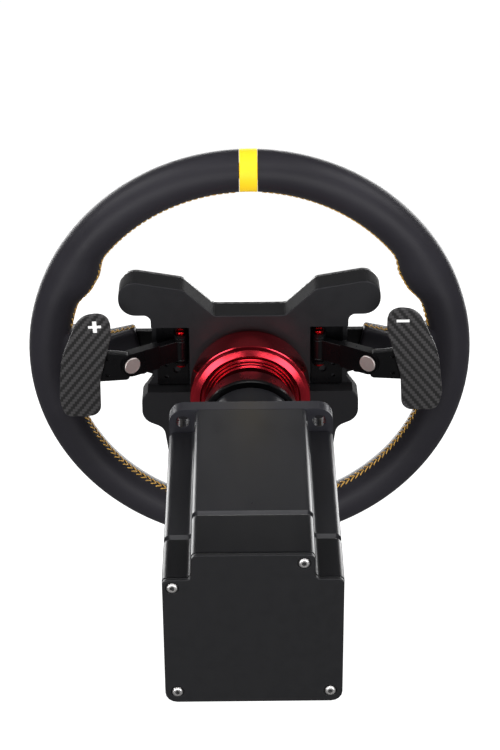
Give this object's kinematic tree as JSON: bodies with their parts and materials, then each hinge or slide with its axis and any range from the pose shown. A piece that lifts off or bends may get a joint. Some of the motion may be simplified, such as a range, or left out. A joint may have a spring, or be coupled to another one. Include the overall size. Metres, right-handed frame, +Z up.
{
  "type": "racing wheel",
  "caption": "Direct-drive racing wheel: square motor base, shaft, red quick release and a round leather-covered wheel with sprung shift paddles, buttons, knobs and toggles.",
  "frame": {"origin": "on the shaft's axis, in the front face of the base's mounting flange; also the centre of the overall box", "axes": "+Y along the shaft away from the driver, towards the base's rear cover; +Z up; +X to the driver's right"},
  "size_m": [0.32, 0.35, 0.32],
  "materials": {
    "black_anodised": "satin black anodised aluminium",
    "grey_anodised": "satin dark grey anodised aluminium",
    "red_anodised": "bright red anodised aluminium",
    "grip_leather": "dark grey smooth leather",
    "yellow_leather": "yellow leather",
    "carbon_fibre": "twill carbon fibre under satin lacquer",
    "bare_steel": "brushed steel",
    "black_plastic": "matt black plastic",
    "copper": "enamelled copper wire",
    "circuit_board": "green circuit board",
    "button_plastic": "red plastic"
  },
  "bodies": {
    "base": {"front_flange": "grey_anodised", "nose_housing": "grey_anodised", "motor_housing": "grey_anodised", "stator_core": "bare_steel", "stator_winding": "copper", "front_bearing": "bare_steel", "rear_bearing": "bare_steel", "controller_housing": "grey_anodised", "controller_board": "circuit_board", "rear_cover": "black_anodised", "cover_screw_1": "bare_steel", "cover_screw_2": "bare_steel", "cover_screw_3": "bare_steel", "cover_screw_4": "bare_steel", "power_socket": "black_plastic", "usb_socket": "black_plastic", "pedal_socket": "black_plastic"},
    "shaft": {"motor_shaft": "bare_steel", "rotor_core": "bare_steel", "encoder_magnet": "bare_steel", "quick_release_hub": "black_anodised"},
    "wheel": {"rim_core_ring": "bare_steel", "spoke_frame": "black_anodised", "rim_grip": "grip_leather", "centre_stripe": "yellow_leather", "wheel_housing": "black_anodised", "front_panel": "carbon_fibre", "button_board_upper": "circuit_board", "button_board_lower": "circuit_board", "hub_bolt_1": "bare_steel", "hub_bolt_2": "bare_steel", "hub_bolt_3": "bare_steel", "hub_bolt_4": "bare_steel", "hub_bolt_5": "bare_steel", "hub_bolt_6": "bare_steel", "centre_cap": "black_anodised", "quick_release_body": "red_anodised", "paddle_bracket_right": "black_anodised", "paddle_bracket_left": "black_anodised", "pivot_pin_right": "red_anodised", "pivot_pin_left": "red_anodised"},
    "collar": {"quick_release_collar": "red_anodised"},
    "paddle_right": {"paddle_lever_right": "black_anodised", "paddle_magnet_right": "bare_steel", "paddle_blade_right": "carbon_fibre"},
    "rotary_knob_right": {"rotary_knob_right": "black_plastic"},
    "toggle_right": {"toggle_right": "bare_steel"},
    "paddle_left": {"paddle_lever_left": "black_anodised", "paddle_magnet_left": "bare_steel", "paddle_blade_left": "carbon_fibre"},
    "rotary_knob_left": {"rotary_knob_left": "black_plastic"},
    "toggle_left": {"toggle_left": "bare_steel"},
    "outer_button_right": {"outer_button_right": "button_plastic"},
    "outer_button_left": {"outer_button_left": "button_plastic"},
    "upper_button_right": {"upper_button_right": "button_plastic"},
    "upper_button_left": {"upper_button_left": "button_plastic"},
    "lower_button_right": {"lower_button_right": "button_plastic"},
    "lower_button_left": {"lower_button_left": "button_plastic"}
  },
  "joints": [
    {"name": "shaft_spin", "type": "hinge", "parent": "base", "child": "shaft", "pos_m": [0, 0, 0], "axis": [0, 1, 0], "continuous": true},
    {"name": "wheel_release", "type": "slide", "parent": "shaft", "child": "wheel", "axis": [0, -1, 0], "range_m": [0, 0.06]},
    {"name": "collar_pull", "type": "slide", "parent": "wheel", "child": "collar", "axis": [0, -1, 0], "range_m": [0, 0.005], "stiffness_N_per_m": 2000, "springref_m": -0.002},
    {"name": "paddle_right_pull", "type": "hinge", "parent": "wheel", "child": "paddle_right", "pos_m": [0.0488, -0.127, 0.022], "axis": [0, 0, -1], "range_deg": [0, 4], "stiffness_Nm_per_rad": 6, "springref_deg": -1.72},
    {"name": "rotary_knob_right_turn", "type": "hinge", "parent": "wheel", "child": "rotary_knob_right", "pos_m": [0.042, -0.16, -0.043], "axis": [0, 1, 0], "continuous": true},
    {"name": "toggle_right_tilt", "type": "hinge", "parent": "wheel", "child": "toggle_right", "pos_m": [0.0415, -0.1425, 0.051], "axis": [1, 0, 0], "range_deg": [-10, 10], "stiffness_Nm_per_rad": 0.1},
    {"name": "paddle_left_pull", "type": "hinge", "parent": "wheel", "child": "paddle_left", "pos_m": [-0.0488, -0.127, 0.022], "axis": [0, 0, 1], "range_deg": [0, 4], "stiffness_Nm_per_rad": 6, "springref_deg": -1.72},
    {"name": "rotary_knob_left_turn", "type": "hinge", "parent": "wheel", "child": "rotary_knob_left", "pos_m": [-0.042, -0.16, -0.043], "axis": [0, 1, 0], "continuous": true},
    {"name": "toggle_left_tilt", "type": "hinge", "parent": "wheel", "child": "toggle_left", "pos_m": [-0.0415, -0.1425, 0.051], "axis": [1, 0, 0], "range_deg": [-10, 10], "stiffness_Nm_per_rad": 0.1},
    {"name": "outer_button_right_press", "type": "slide", "parent": "wheel", "child": "outer_button_right", "axis": [0, 1, 0], "range_m": [0, 0.0015], "stiffness_N_per_m": 1500, "springref_m": -0.0005},
    {"name": "outer_button_left_press", "type": "slide", "parent": "wheel", "child": "outer_button_left", "axis": [0, 1, 0], "range_m": [0, 0.0015], "stiffness_N_per_m": 1500, "springref_m": -0.0005},
    {"name": "upper_button_right_press", "type": "slide", "parent": "wheel", "child": "upper_button_right", "axis": [0, 1, 0], "range_m": [0, 0.0015], "stiffness_N_per_m": 1500, "springref_m": -0.0005},
    {"name": "upper_button_left_press", "type": "slide", "parent": "wheel", "child": "upper_button_left", "axis": [0, 1, 0], "range_m": [0, 0.0015], "stiffness_N_per_m": 1500, "springref_m": -0.0005},
    {"name": "lower_button_right_press", "type": "slide", "parent": "wheel", "child": "lower_button_right", "axis": [0, 1, 0], "range_m": [0, 0.0015], "stiffness_N_per_m": 1500, "springref_m": -0.0005},
    {"name": "lower_button_left_press", "type": "slide", "parent": "wheel", "child": "lower_button_left", "axis": [0, 1, 0], "range_m": [0, 0.0015], "stiffness_N_per_m": 1500, "springref_m": -0.0005}
  ]
}
